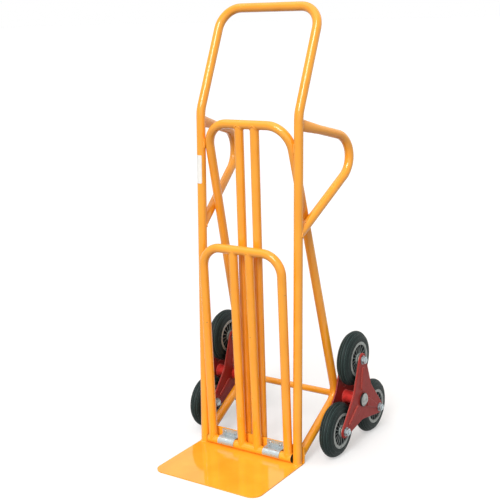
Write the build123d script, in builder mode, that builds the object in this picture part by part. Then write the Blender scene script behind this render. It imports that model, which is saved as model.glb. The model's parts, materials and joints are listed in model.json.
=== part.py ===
from build123d import *
from math import acos, atan2, cos, degrees, hypot, radians, sin, sqrt, tan
import os

# Stair-climbing hand truck: a bent and welded tube frame with a toe plate, a folding toe frame
# and, on each side, a three-wheel star that turns on the axle.
# Millimetres and degrees. X runs across the truck, Y to its back, Z up. The origin is on the
# floor, midway between the feet of the two uprights.

# Tube stock
FRAME_TUBE_D = 24.0
FRAME_TUBE_WALL = 1.5
BAR_D = 24.0
BAR_WALL = 1.5
WELD_GAP = 0.05
CUT_MARGIN = 30.0

# Main frame: one tube bent into an inverted U
FRAME_WIDTH = 300.0
UPRIGHT_LEAN = 2.6
KINK_HEIGHT = 922.0
KINK_RADIUS = 66.0
HANDLE_HEIGHT = 1181.0
HANDLE_LEAN = 24.7
HANDLE_CORNER_RADIUS = 58.0

# Toe plate with its folded-up rear edge
PLATE_OVERHANG = 1.0
PLATE_REACH = 220.0
PLATE_T = 3.0
PLATE_CORNER_RADIUS = 29.0
PLATE_BEND_RADIUS = 2.0
UPSTAND_HEIGHT = 47.5
UPSTAND_CORNER_RADIUS = 4.0
UPSTAND_GAP = 0.2

# Rear brace loop: over the top, down to the knees at the axle, forward to the upstand
BRACE_TOP_HEIGHT = 891.5
BRACE_TOP_FORWARD = 8.5
BRACE_CORNER_RADIUS = 66.0
BRACE_FOOT_HEIGHT = 22.5
KNEE_RADIUS = 40.0
SEATING_PASSES = 6

# Two upright bars behind the load
BACK_BAR_SPACING = 47.5
BACK_BAR_FOOT_HEIGHT = 7.5

# Side grips, one bent tube on each upright, with its upper end pressed flatter
GRIP_D = 24.0
GRIP_WALL = 1.5
GRIP_TOP_HEIGHT = 896.5
GRIP_FOOT_HEIGHT = 616.0
GRIP_CORNER_HEIGHT = 820.0
GRIP_REACH = 326.0
GRIP_FLARE = 47.5
GRIP_BEND_RADIUS = 63.0
GRIP_FLAT_LENGTH = 70.0
GRIP_FLAT_HEIGHT = 32.0
GRIP_FLAT_WIDTH = 14.0

# Folding toe frame, stored upright in front of the load bars
FOLD_LENGTH = 555.0
FOLD_LEAN = 1.3
FOLD_SIDE_GAP = 1.5
FOLD_CORNER_RADIUS = 56.0
FOLD_BAR_SPACING = 50.0
FOLD_PLATE_GAP = 0.5
HINGE_TUBE_OVERHANG = 1.0
PLUG_FLANGE_T = 1.5
PLUG_FLANGE_MARGIN = 0.5
PLUG_DEPTH = 12.0
PLUG_FIT = 0.05

# Hinge straps, fixed to the upstand with blind rivets
STRAP_T = 2.0
STRAP_WIDTH = 52.0
STRAP_CLEARANCE = 0.3
STRAP_BEND_RADIUS = 3.0
STRAP_WRAP = 104.0
STRAP_TOP_MARGIN = 0.8
RIVET_SPACING = 32.0
RIVET_D = 4.8
RIVET_HEAD_D = 8.5
RIVET_HEAD_H = 2.2
RIVET_DOME_SHARE = 0.8
RIVET_BORE_D = 2.8
RIVET_BORE_DEPTH = 1.6
RIVET_TAIL_D = 7.5
RIVET_TAIL_H = 2.5
RIVET_FIT = 0.1

# Axle and the star clusters on its ends
WHEEL_D = 150.0
STAR_RADIUS = 114.0
AXLE_REACH = 201.0
AXLE_D = 18.0
AXLE_HOLE_FIT = 0.05
AXLE_RUNNING_FIT = 0.1
AXLE_CHAMFER = 1.5
AXLE_END = 4.0
WASHER_D = 36.0
WASHER_T = 2.0
SIDE_PLAY = 0.3
BUSH_FLANGE_D = 38.0
BUSH_FLANGE_T = 4.5
BUSH_DEPTH = 16.0
PRESS_GAP = 0.05
HUB_TUBE_D = 34.0
HUB_TUBE_WALL = 3.0
HUB_TUBE_STAND = 13.0
CAP_D = 35.0
CAP_H = 7.5
CAP_WALL = 1.2

# Star plates
STAR_PLATE_T = 3.0
TYRE_SIDE_GAP = 7.7
STAR_TIP_RADIUS = 18.5
STAR_WAIST = 58.0
STAR_WAIST_RADIUS = 42.0
STAR_RIM_DEPTH = 1.5
STAR_EDGE_RADIUS = 2.5
RIB_ROOT_RADIUS = 12.0
RIB_TIP_RADIUS = 6.0
RIB_HEIGHT = 3.0
RIB_START = 37.0
RIB_TIP_MARGIN = 28.0
RIB_CREST_RADIUS = 1.5

# Wheel fasteners
BOLT_D = 12.0
BOLT_HOLE_FIT = 0.1
BOLT_HEAD_FLATS = 18.0
BOLT_HEAD_H = 7.5
BOLT_END = 2.5
BOLT_CHAMFER = 1.0
NUT_H = 8.0
NUT_CHAMFER = 0.8
BOLT_WASHER_D = 24.0
BOLT_WASHER_T = 1.6
SLEEVE_D = 19.0

# Wheels
TYRE_WIDTH = 38.0
TREAD_GROOVES = 4
TREAD_GROOVE_PITCH = 6.5
TREAD_GROOVE_WIDTH = 1.8
TREAD_GROOVE_DEPTH = 1.6
RIM_D = 96.0
RIM_WALL = 8.0
RIM_INSET = 0.5
WEB_T = 4.0
SPOKE_COUNT = 16
SPOKE_T = 2.5
SPOKE_RECESS = 3.0
BOSS_D = 32.0
BOSS_STAND = 0.5
WHEEL_BUSH_D = 18.0
WHEEL_BUSH_STAND = 1.5
WHEEL_RUNNING_FIT = 0.1

SIDES = (("left", -1), ("right", 1))
ARMS = (("top", 90.0), ("front", 210.0), ("rear", 330.0))

os.makedirs("parts", exist_ok=True)


def write_node(piece, name):
    """Label a finished piece and write its STEP file."""
    piece.label = name
    export_step(piece, f"parts/{name}.step")


def bent_route(points, radii):
    """Centre line of a bent tube: straight runs joined by tangent arcs."""
    with BuildLine() as route:
        FilletPolyline(*points, radius=radii)
    return route.line


def straight_route(start, end):
    """Centre line of a straight tube."""
    with BuildLine() as route:
        Line(start, end)
    return route.line


def tube_section(route, outer_d, wall):
    """Ring across the start of a centre line."""
    with BuildSketch(Plane(origin=route @ 0, z_dir=route % 0)) as ring:
        Circle(outer_d / 2)
        Circle(outer_d / 2 - wall, mode=Mode.SUBTRACT)
    return ring.sketch


def coping_rod(route, tube_d):
    """Full rod along a centre line, which cuts the saddle in the tubes that are welded to it."""
    with BuildPart() as rod:
        with BuildSketch(Plane(origin=route @ 0, z_dir=route % 0)) as disc:
            Circle(tube_d / 2 + WELD_GAP)
        sweep(disc.sketch, path=route)
    return rod.part


def upright_y(height):
    """Where the uprights' centre lines are at a height."""
    return height * tan(radians(UPRIGHT_LEAN))


def upright_back(height):
    """Rearmost point of an upright at a height."""
    return upright_y(height) + FRAME_TUBE_D / 2 / cos(radians(UPRIGHT_LEAN))


# Places that several pieces share
frame_half = FRAME_WIDTH / 2
plate_width = FRAME_WIDTH + FRAME_TUBE_D + 2 * PLATE_OVERHANG
upstand_front_y = UPSTAND_GAP + max(upright_back(PLATE_T) + PLATE_BEND_RADIUS, upright_back(UPSTAND_HEIGHT))
upstand_back_y = upstand_front_y + PLATE_T
hinge_y = upstand_front_y - STRAP_T - STRAP_CLEARANCE - FRAME_TUBE_D / 2
hinge_z = PLATE_T + FOLD_PLATE_GAP + FRAME_TUBE_D / 2
hinge_half = frame_half - FRAME_TUBE_D / 2 - FOLD_SIDE_GAP - PLUG_FLANGE_T
fold_half = hinge_half - HINGE_TUBE_OVERHANG - FRAME_TUBE_D / 2
strap_middle = (FOLD_BAR_SPACING / 2 + BAR_D / 2 + fold_half - FRAME_TUBE_D / 2) / 2
axle_y = AXLE_REACH
arm_drop = -min(sin(radians(angle)) for _, angle in ARMS)
axle_z = WHEEL_D / 2 + STAR_RADIUS * arm_drop

# Stations along the axle, from the middle of the truck outwards
knee_side = frame_half + FRAME_TUBE_D / 2
inner_flange_start = knee_side + SIDE_PLAY + WASHER_T + SIDE_PLAY
hub_tube_start = inner_flange_start + BUSH_FLANGE_T
inner_plate_start = hub_tube_start + HUB_TUBE_STAND
inner_plate_end = inner_plate_start + STAR_PLATE_T
outer_plate_start = inner_plate_end + TYRE_WIDTH + 2 * TYRE_SIDE_GAP
outer_plate_end = outer_plate_start + STAR_PLATE_T
outer_flange_end = outer_plate_end + BUSH_FLANGE_T
cap_start = outer_flange_end + SIDE_PLAY
wheel_x = (inner_plate_end + outer_plate_start) / 2
boss_width = TYRE_WIDTH + 2 * BOSS_STAND
wheel_bush_length = boss_width + 2 * WHEEL_BUSH_STAND
sleeve_length = (outer_plate_start - inner_plate_end - wheel_bush_length) / 2 - SIDE_PLAY


# Main frame tube
handle_y = upright_y(KINK_HEIGHT) + (HANDLE_HEIGHT - KINK_HEIGHT) * tan(radians(HANDLE_LEAN))
main_route = bent_route(
    [
        (-frame_half, upright_y(-CUT_MARGIN), -CUT_MARGIN),
        (-frame_half, upright_y(KINK_HEIGHT), KINK_HEIGHT),
        (-frame_half, handle_y, HANDLE_HEIGHT),
        (frame_half, handle_y, HANDLE_HEIGHT),
        (frame_half, upright_y(KINK_HEIGHT), KINK_HEIGHT),
        (frame_half, upright_y(-CUT_MARGIN), -CUT_MARGIN),
    ],
    [KINK_RADIUS, HANDLE_CORNER_RADIUS, HANDLE_CORNER_RADIUS, KINK_RADIUS],
)

with BuildPart() as main_frame_tube:
    sweep(tube_section(main_route, FRAME_TUBE_D, FRAME_TUBE_WALL), path=main_route)
    split(bisect_by=Plane.XY.offset(PLATE_T), keep=Keep.TOP)
write_node(main_frame_tube.part, "main_frame_tube")


# Toe plate, one sheet folded up at its rear edge
strap_top = UPSTAND_HEIGHT - STRAP_TOP_MARGIN
hook_radius = FRAME_TUBE_D / 2 + STRAP_CLEARANCE + STRAP_T / 2
strap_ledge = hinge_z + hook_radius
rivet_z = (strap_top + strap_ledge + STRAP_T / 2) / 2
rivet_offsets = (-RIVET_SPACING / 2, RIVET_SPACING / 2)
upstand_plane = Plane(origin=(0, upstand_front_y, 0), x_dir=(1, 0, 0), z_dir=(0, -1, 0))
upstand_middle = (upstand_front_y + upstand_back_y) / 2
rivet_points = [(side * strap_middle + offset, rivet_z) for _, side in SIDES for offset in rivet_offsets]

with BuildPart() as toe_plate:
    with BuildSketch(Plane.YZ.offset(-plate_width / 2)):
        with BuildLine():
            FilletPolyline(
                (-PLATE_REACH, PLATE_T / 2),
                (upstand_middle, PLATE_T / 2),
                (upstand_middle, UPSTAND_HEIGHT),
                radius=PLATE_BEND_RADIUS + PLATE_T / 2,
            )
        trace(line_width=PLATE_T)
    extrude(amount=plate_width)
    front_corners = toe_plate.edges().filter_by(Axis.Z).group_by(Axis.Y)[0]
    fillet(front_corners, radius=PLATE_CORNER_RADIUS)
    upstand_corners = toe_plate.edges().filter_by(Axis.Y).group_by(Axis.Z)[-1]
    fillet(upstand_corners, radius=UPSTAND_CORNER_RADIUS)
    with BuildSketch(upstand_plane):
        with Locations(*rivet_points):
            Circle(RIVET_D / 2 + RIVET_FIT)
    extrude(amount=-2 * PLATE_T, mode=Mode.SUBTRACT)
write_node(toe_plate.part, "toe_plate")


# Rear brace loop. Its top bar stands a little in front of the uprights, its corners rest against
# their inner sides, and the axle runs through the middle of each knee bend.
brace_top_y = upright_y(BRACE_TOP_HEIGHT) - BRACE_TOP_FORWARD
axle_point = Vector(frame_half, axle_y, axle_z)
brace_foot = Vector(frame_half, upstand_back_y, BRACE_FOOT_HEIGHT)


def knee_corner(brace_half):
    """Corner of the knee's two straight runs, set so that the bend passes through the axle."""
    corner = axle_point
    for _ in range(SEATING_PASSES):
        upward = (Vector(brace_half, brace_top_y, BRACE_TOP_HEIGHT) - corner).normalized()
        forward = (brace_foot - corner).normalized()
        half_angle = radians(upward.get_angle(forward)) / 2
        corner = axle_point - (upward + forward).normalized() * KNEE_RADIUS * (1 / sin(half_angle) - 1)
    return corner


def brace_over_top(brace_half):
    """Upper stretch of the brace's centre line, from knee to knee."""
    knee = knee_corner(brace_half)
    return bent_route(
        [
            (-knee.X, knee.Y, knee.Z),
            (-brace_half, brace_top_y, BRACE_TOP_HEIGHT),
            (brace_half, brace_top_y, BRACE_TOP_HEIGHT),
            (knee.X, knee.Y, knee.Z),
        ],
        BRACE_CORNER_RADIUS,
    )


brace_half = frame_half - FRAME_TUBE_D
upright_axis = straight_route((frame_half, 0, 0), (frame_half, upright_y(KINK_HEIGHT), KINK_HEIGHT))
for _ in range(SEATING_PASSES):
    spare = brace_over_top(brace_half).distance_to(upright_axis) - FRAME_TUBE_D - WELD_GAP
    brace_half += spare

knee = knee_corner(brace_half)
foot_run = (brace_foot - knee).normalized()
brace_end = brace_foot + foot_run * CUT_MARGIN
brace_route = bent_route(
    [
        (-brace_end.X, brace_end.Y, brace_end.Z),
        (-knee.X, knee.Y, knee.Z),
        (-brace_half, brace_top_y, BRACE_TOP_HEIGHT),
        (brace_half, brace_top_y, BRACE_TOP_HEIGHT),
        (knee.X, knee.Y, knee.Z),
        (brace_end.X, brace_end.Y, brace_end.Z),
    ],
    [KNEE_RADIUS, BRACE_CORNER_RADIUS, BRACE_CORNER_RADIUS, KNEE_RADIUS],
)
upstand_back_plane = Plane(origin=(0, upstand_back_y, 0), x_dir=(-1, 0, 0), z_dir=(0, 1, 0))

with BuildPart() as rear_brace_tube:
    sweep(tube_section(brace_route, FRAME_TUBE_D, FRAME_TUBE_WALL), path=brace_route)
    split(bisect_by=upstand_back_plane.offset(WELD_GAP), keep=Keep.TOP)
    with BuildSketch(Plane.YZ):
        with Locations((axle_y, axle_z)):
            Circle(AXLE_D / 2 + AXLE_HOLE_FIT)
    extrude(amount=FRAME_WIDTH, both=True, mode=Mode.SUBTRACT)
write_node(rear_brace_tube.part, "rear_brace_tube")


# Back bars, from behind the upstand up to the brace's top bar
brace_rod = coping_rod(brace_over_top(brace_half), FRAME_TUBE_D)
bar_foot_y = upstand_back_y + BAR_D / 2 + WELD_GAP

for side_name, side in SIDES:
    bar_x = side * BACK_BAR_SPACING / 2
    bar_route = straight_route(
        (bar_x, bar_foot_y, BACK_BAR_FOOT_HEIGHT), (bar_x, brace_top_y, BRACE_TOP_HEIGHT)
    )
    with BuildPart() as back_bar:
        sweep(tube_section(bar_route, BAR_D, BAR_WALL), path=bar_route)
        add(brace_rod, mode=Mode.SUBTRACT)
    write_node(back_bar.part, f"{side_name}_back_bar")


# Side grips, each a bent tube saddled on the back of its upright
main_rod = coping_rod(main_route, FRAME_TUBE_D)


def grip_taper(flat_plane, round_plane, inset):
    """Stretch of a side grip from its flattened end to its round part, an inset inside its skin."""
    with BuildPart() as taper:
        with BuildSketch(flat_plane) as flat_end:
            Ellipse(GRIP_FLAT_HEIGHT / 2 - inset, GRIP_FLAT_WIDTH / 2 - inset)
        with BuildSketch(round_plane) as round_end:
            Ellipse(GRIP_D / 2 - inset, GRIP_D / 2 - inset)
        loft(sections=[flat_end.sketch, round_end.sketch])
    return taper.part


for side_name, side in SIDES:
    grip_x = side * frame_half
    grip_top = Vector(grip_x, upright_y(GRIP_TOP_HEIGHT), GRIP_TOP_HEIGHT)
    grip_corner = Vector(side * (frame_half + GRIP_FLARE), GRIP_REACH, GRIP_CORNER_HEIGHT)
    grip_foot = Vector(grip_x, upright_y(GRIP_FOOT_HEIGHT), GRIP_FOOT_HEIGHT)
    along = (grip_corner - grip_top).normalized()
    tall = along.cross(Vector(0, 0, 1)).cross(along).normalized()
    round_start = grip_top + along * (FRAME_TUBE_D / 2 + GRIP_FLAT_LENGTH)
    flat_plane = Plane(origin=grip_top, x_dir=tall, z_dir=along)
    round_plane = Plane(origin=round_start, x_dir=tall, z_dir=along)
    grip_route = bent_route([round_start, grip_corner, grip_foot], GRIP_BEND_RADIUS)
    with BuildPart() as side_grip:
        sweep(tube_section(grip_route, GRIP_D, GRIP_WALL), path=grip_route)
        add(grip_taper(flat_plane, round_plane, 0))
        add(grip_taper(flat_plane, round_plane, GRIP_WALL), mode=Mode.SUBTRACT)
        add(main_rod, mode=Mode.SUBTRACT)
    write_node(side_grip.part, f"{side_name}_side_grip")


# Folding toe frame
def fold_point(x, reach):
    """A point of the folding frame's plane, at a reach from the hinge."""
    return (
        x,
        hinge_y - reach * sin(radians(FOLD_LEAN)),
        hinge_z + reach * cos(radians(FOLD_LEAN)),
    )


hinge_route = straight_route((-hinge_half, hinge_y, hinge_z), (hinge_half, hinge_y, hinge_z))
hinge_rod = coping_rod(hinge_route, FRAME_TUBE_D)
fold_route = bent_route(
    [
        fold_point(-fold_half, 0),
        fold_point(-fold_half, FOLD_LENGTH),
        fold_point(fold_half, FOLD_LENGTH),
        fold_point(fold_half, 0),
    ],
    FOLD_CORNER_RADIUS,
)
fold_rod = coping_rod(fold_route, FRAME_TUBE_D)

with BuildPart() as hinge_tube:
    sweep(tube_section(hinge_route, FRAME_TUBE_D, FRAME_TUBE_WALL), path=hinge_route)
write_node(hinge_tube.part, "hinge_tube")

with BuildPart() as folding_loop:
    sweep(tube_section(fold_route, FRAME_TUBE_D, FRAME_TUBE_WALL), path=fold_route)
    add(hinge_rod, mode=Mode.SUBTRACT)
write_node(folding_loop.part, "folding_loop")

for side_name, side in SIDES:
    fold_bar_x = side * FOLD_BAR_SPACING / 2
    fold_bar_route = straight_route(fold_point(fold_bar_x, 0), fold_point(fold_bar_x, FOLD_LENGTH))
    with BuildPart() as folding_bar:
        sweep(tube_section(fold_bar_route, BAR_D, BAR_WALL), path=fold_bar_route)
        add(hinge_rod, mode=Mode.SUBTRACT)
        add(fold_rod, mode=Mode.SUBTRACT)
    write_node(folding_bar.part, f"{side_name}_folding_bar")

for side_name, side in SIDES:
    plug_plane = Plane(origin=(side * hinge_half, hinge_y, hinge_z), z_dir=(side, 0, 0))
    with BuildPart() as hinge_plug:
        with BuildSketch(plug_plane):
            Circle(FRAME_TUBE_D / 2 - PLUG_FLANGE_MARGIN)
        extrude(amount=PLUG_FLANGE_T)
        fillet(hinge_plug.edges().group_by(Axis.X)[-1 if side > 0 else 0], radius=PLUG_FLANGE_T / 2)
        with BuildSketch(plug_plane):
            Circle(FRAME_TUBE_D / 2 - FRAME_TUBE_WALL - PLUG_FIT)
        extrude(amount=-PLUG_DEPTH)
    write_node(hinge_plug.part, f"{side_name}_hinge_plug")


# Hinge straps: flat on the upstand, a ledge over the hinge tube, then rolled round its front
for side_name, side in SIDES:
    strap_x = side * strap_middle
    with BuildPart() as hinge_strap:
        with BuildSketch(Plane.YZ.offset(strap_x - STRAP_WIDTH / 2)):
            with BuildLine():
                FilletPolyline(
                    (upstand_front_y - STRAP_T / 2, strap_top),
                    (upstand_front_y - STRAP_T / 2, strap_ledge),
                    (hinge_y, strap_ledge),
                    radius=STRAP_BEND_RADIUS,
                )
                CenterArc((hinge_y, hinge_z), hook_radius, start_angle=90, arc_size=STRAP_WRAP)
            trace(line_width=STRAP_T)
        extrude(amount=STRAP_WIDTH)
        with BuildSketch(upstand_plane):
            with Locations(*[(strap_x + offset, rivet_z) for offset in rivet_offsets]):
                Circle(RIVET_D / 2 + RIVET_FIT)
        extrude(amount=2 * STRAP_T, mode=Mode.SUBTRACT)
    write_node(hinge_strap.part, f"{side_name}_hinge_strap")

with BuildPart() as hinge_rivets:
    head_plane = upstand_plane.offset(STRAP_T)
    tail_plane = upstand_plane.offset(-PLATE_T)
    with BuildSketch(tail_plane):
        with Locations(*rivet_points):
            Circle(RIVET_D / 2)
    extrude(amount=PLATE_T + STRAP_T)
    with BuildSketch(head_plane):
        with Locations(*rivet_points):
            Circle(RIVET_HEAD_D / 2)
    extrude(amount=RIVET_HEAD_H)
    fillet(hinge_rivets.edges().group_by(Axis.Y)[0], radius=RIVET_HEAD_H * RIVET_DOME_SHARE)
    with BuildSketch(head_plane.offset(RIVET_HEAD_H)):
        with Locations(*rivet_points):
            Circle(RIVET_BORE_D / 2)
    extrude(amount=-RIVET_BORE_DEPTH, mode=Mode.SUBTRACT)
    with BuildSketch(tail_plane):
        with Locations(*rivet_points):
            Circle(RIVET_TAIL_D / 2)
    extrude(amount=-RIVET_TAIL_H)
    fillet(hinge_rivets.edges().group_by(Axis.Y)[-1], radius=RIVET_TAIL_H / 2)
write_node(hinge_rivets.part, "hinge_rivets")


# Axle with its washers and push-on caps
with BuildPart() as main_axle:
    with BuildSketch(Plane.YZ):
        with Locations((axle_y, axle_z)):
            Circle(AXLE_D / 2)
    extrude(amount=cap_start + AXLE_END, both=True)
    chamfer(main_axle.edges(), length=AXLE_CHAMFER)
write_node(main_axle.part, "main_axle")

with BuildPart() as axle_washers:
    for _, side in SIDES:
        with BuildSketch(Plane.YZ.offset(side * (knee_side + SIDE_PLAY))):
            with Locations((axle_y, axle_z)):
                Circle(WASHER_D / 2)
                Circle(AXLE_D / 2 + AXLE_HOLE_FIT, mode=Mode.SUBTRACT)
        extrude(amount=side * WASHER_T)
write_node(axle_washers.part, "axle_washers")

for side_name, side in SIDES:
    cap_plane = Plane(origin=(side * cap_start, axle_y, axle_z), x_dir=(side, 0, 0), z_dir=(0, -side, 0))
    with BuildPart() as axle_cap:
        with BuildSketch(cap_plane):
            with BuildLine():
                rim_point = (0, CAP_D / 2)
                crown = (CAP_H, 0)
                inner_crown = (CAP_H - CAP_WALL, 0)
                lip = (CAP_WALL, CAP_D / 2 - 2 * CAP_WALL)
                grip = (CAP_WALL, AXLE_D / 2 + AXLE_HOLE_FIT)
                TangentArc(crown, rim_point, tangent=(0, 1))
                Line(rim_point, (0, AXLE_D / 2 + AXLE_HOLE_FIT))
                Line((0, AXLE_D / 2 + AXLE_HOLE_FIT), grip)
                Line(grip, lip)
                TangentArc(inner_crown, lip, tangent=(0, 1))
                Line(inner_crown, crown)
            make_face()
        revolve(axis=Axis((0, axle_y, axle_z), (1, 0, 0)))
    write_node(axle_cap.part, f"{side_name}_axle_cap")


# Star clusters
def polar(centre, radius, angle):
    """Point at a radius and an angle from a centre, in the plane of the star."""
    return (centre[0] + radius * cos(radians(angle)), centre[1] + radius * sin(radians(angle)))


axle_centre = (axle_y, axle_z)
half_pitch = 180 / len(ARMS)
arm_centres = [polar(axle_centre, STAR_RADIUS, angle) for _, angle in ARMS]
waist_points = [polar(axle_centre, STAR_WAIST, angle + half_pitch) for _, angle in ARMS]

# Half angles of the round ends, up to where an arm's or a rib's straight sides meet them
waist_along = STAR_WAIST * cos(radians(half_pitch)) - STAR_RADIUS
waist_across = STAR_WAIST * sin(radians(half_pitch))
waist_turn = atan2(waist_across, waist_along) - acos(STAR_TIP_RADIUS / hypot(waist_along, waist_across))
tip_spread = degrees(waist_turn)
rib_end = STAR_RADIUS - RIB_TIP_MARGIN
rib_spread = degrees(acos((RIB_ROOT_RADIUS - RIB_TIP_RADIUS) / (rib_end - RIB_START)))


def star_outline():
    """Outline of a star plate: three tapered arms with round tips and hollow sides."""
    with BuildSketch() as outline:
        with BuildLine():
            for index, (_, angle) in enumerate(ARMS):
                turns = (angle - tip_spread, angle, angle + tip_spread)
                tip = [polar(arm_centres[index], STAR_TIP_RADIUS, turn) for turn in turns]
                Line(waist_points[index - 1], tip[0])
                ThreePointArc(*tip)
                Line(tip[-1], waist_points[index])
        make_face()
        waists = [v for v in outline.vertices() if hypot(v.X - axle_y, v.Y - axle_z) < STAR_WAIST + PRESS_GAP]
        fillet(waists, radius=STAR_WAIST_RADIUS)
    return outline.sketch


def rib_faces(inset):
    """One pressed rib along each arm, wider towards the hub, drawn in from its edge by an inset."""
    with BuildSketch() as ribs:
        for _, angle in ARMS:
            root_turns = (angle + rib_spread, angle + 180, angle - rib_spread)
            tip_turns = (angle - rib_spread, angle, angle + rib_spread)
            root_centre = polar(axle_centre, RIB_START, angle)
            tip_centre = polar(axle_centre, rib_end, angle)
            root = [polar(root_centre, RIB_ROOT_RADIUS - inset, turn) for turn in root_turns]
            tip = [polar(tip_centre, RIB_TIP_RADIUS - inset, turn) for turn in tip_turns]
            with BuildLine():
                ThreePointArc(*root)
                Line(root[-1], tip[0])
                ThreePointArc(*tip)
                Line(tip[-1], root[0])
            make_face()
    return ribs.sketch


star_face = star_outline()
star_rib_face = rib_faces(0)
star_groove_face = rib_faces(STAR_PLATE_T / 2)

for side_name, side in SIDES:
    for plate_name, wheel_face, outward in (
        ("inner", side * inner_plate_end, -side),
        ("outer", side * outer_plate_start, side),
    ):
        wheel_side_plane = Plane.YZ.offset(wheel_face)
        with BuildPart() as star_plate:
            with BuildSketch(wheel_side_plane):
                add(star_face)
            extrude(amount=outward * STAR_PLATE_T)
            with BuildSketch(wheel_side_plane):
                add(star_face)
                offset(star_face, amount=-STAR_PLATE_T, mode=Mode.SUBTRACT)
            extrude(amount=-outward * STAR_RIM_DEPTH)
            folded_edges = star_plate.edges().group_by(Axis.X)[-1 if outward > 0 else 0]
            fillet(folded_edges, radius=STAR_EDGE_RADIUS)
            with BuildSketch(wheel_side_plane.offset(outward * STAR_PLATE_T)):
                add(star_rib_face)
            extrude(amount=outward * RIB_HEIGHT)
            rib_crests = star_plate.edges().group_by(Axis.X)[-1 if outward > 0 else 0]
            fillet(rib_crests, radius=RIB_CREST_RADIUS)
            with BuildSketch(wheel_side_plane):
                add(star_groove_face)
            extrude(amount=outward * RIB_HEIGHT, mode=Mode.SUBTRACT)
            with BuildSketch(wheel_side_plane):
                with Locations((axle_y, axle_z)):
                    Circle(HUB_TUBE_D / 2 + PRESS_GAP)
                with Locations(*arm_centres):
                    Circle(BOLT_D / 2 + BOLT_HOLE_FIT)
            extrude(amount=outward * STAR_PLATE_T, mode=Mode.SUBTRACT)
        write_node(star_plate.part, f"{side_name}_{plate_name}_star_plate")

    hub_bore = HUB_TUBE_D / 2 - HUB_TUBE_WALL
    with BuildPart() as star_hub_tube:
        with BuildSketch(Plane.YZ.offset(side * hub_tube_start)):
            with Locations((axle_y, axle_z)):
                Circle(HUB_TUBE_D / 2)
                Circle(hub_bore, mode=Mode.SUBTRACT)
        extrude(amount=side * (outer_plate_end - hub_tube_start))
    write_node(star_hub_tube.part, f"{side_name}_star_hub_tube")

    with BuildPart() as star_bushes:
        for flange_face, inward in ((hub_tube_start, side), (outer_plate_end, -side)):
            bush_plane = Plane.YZ.offset(side * flange_face)
            with BuildSketch(bush_plane):
                with Locations((axle_y, axle_z)):
                    Circle(BUSH_FLANGE_D / 2)
                    Circle(AXLE_D / 2 + AXLE_RUNNING_FIT, mode=Mode.SUBTRACT)
            extrude(amount=-inward * BUSH_FLANGE_T)
            with BuildSketch(bush_plane):
                with Locations((axle_y, axle_z)):
                    Circle(hub_bore - PRESS_GAP)
                    Circle(AXLE_D / 2 + AXLE_RUNNING_FIT, mode=Mode.SUBTRACT)
            extrude(amount=inward * BUSH_DEPTH)
    write_node(star_bushes.part, f"{side_name}_star_bushes")

    bolt_seat = inner_plate_start - BOLT_WASHER_T
    nut_seat = outer_plate_end + BOLT_WASHER_T
    with BuildPart() as wheel_bolts:
        with BuildSketch(Plane.YZ.offset(side * bolt_seat)):
            with Locations(*arm_centres):
                RegularPolygon(BOLT_HEAD_FLATS / 2, side_count=6, major_radius=False)
        extrude(amount=-side * BOLT_HEAD_H)
        with BuildSketch(Plane.YZ.offset(side * bolt_seat)):
            with Locations(*arm_centres):
                Circle(BOLT_D / 2)
        extrude(amount=side * (nut_seat + NUT_H + BOLT_END - bolt_seat))
        chamfer(wheel_bolts.edges().group_by(Axis.X)[-1 if side > 0 else 0], length=BOLT_CHAMFER)
        chamfer(wheel_bolts.edges().group_by(Axis.X)[0 if side > 0 else -1], length=NUT_CHAMFER)
    write_node(wheel_bolts.part, f"{side_name}_wheel_bolts")

    with BuildPart() as wheel_nuts:
        with BuildSketch(Plane.YZ.offset(side * nut_seat)):
            with Locations(*arm_centres):
                RegularPolygon(BOLT_HEAD_FLATS / 2, side_count=6, major_radius=False)
        extrude(amount=side * NUT_H)
        chamfer(wheel_nuts.edges().group_by(Axis.X)[-1 if side > 0 else 0], length=NUT_CHAMFER)
        with BuildSketch(Plane.YZ.offset(side * nut_seat)):
            with Locations(*arm_centres):
                Circle(BOLT_D / 2 + BOLT_HOLE_FIT)
        extrude(amount=side * NUT_H, mode=Mode.SUBTRACT)
    write_node(wheel_nuts.part, f"{side_name}_wheel_nuts")

    with BuildPart() as bolt_washers:
        for seat in (bolt_seat, outer_plate_end):
            with BuildSketch(Plane.YZ.offset(side * seat)):
                with Locations(*arm_centres):
                    Circle(BOLT_WASHER_D / 2)
                    Circle(BOLT_D / 2 + BOLT_HOLE_FIT, mode=Mode.SUBTRACT)
            extrude(amount=side * BOLT_WASHER_T)
    write_node(bolt_washers.part, f"{side_name}_bolt_washers")

    with BuildPart() as spacer_sleeves:
        for plate_face, inward in ((inner_plate_end, side), (outer_plate_start, -side)):
            with BuildSketch(Plane.YZ.offset(side * plate_face)):
                with Locations(*arm_centres):
                    Circle(SLEEVE_D / 2)
                    Circle(BOLT_D / 2 + BOLT_HOLE_FIT, mode=Mode.SUBTRACT)
            extrude(amount=inward * sleeve_length)
    write_node(spacer_sleeves.part, f"{side_name}_spacer_sleeves")


# Wheels, each shaped about its own centre and then set on its arm
wheel_plane = Plane.XZ
wheel_axis = Axis.X
rim_width = TYRE_WIDTH - 2 * RIM_INSET
rim_inner = RIM_D / 2 - RIM_WALL
tyre_half = TYRE_WIDTH / 2
tyre_seat = RIM_D / 2 + PRESS_GAP
tyre_depth = WHEEL_D / 2 - tyre_seat
groove_places = [TREAD_GROOVE_PITCH * (n - (TREAD_GROOVES - 1) / 2) for n in range(TREAD_GROOVES)]
groove_centres = [(x, tyre_seat + tyre_depth * sqrt(1 - (x / tyre_half) ** 2)) for x in groove_places]

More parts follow.
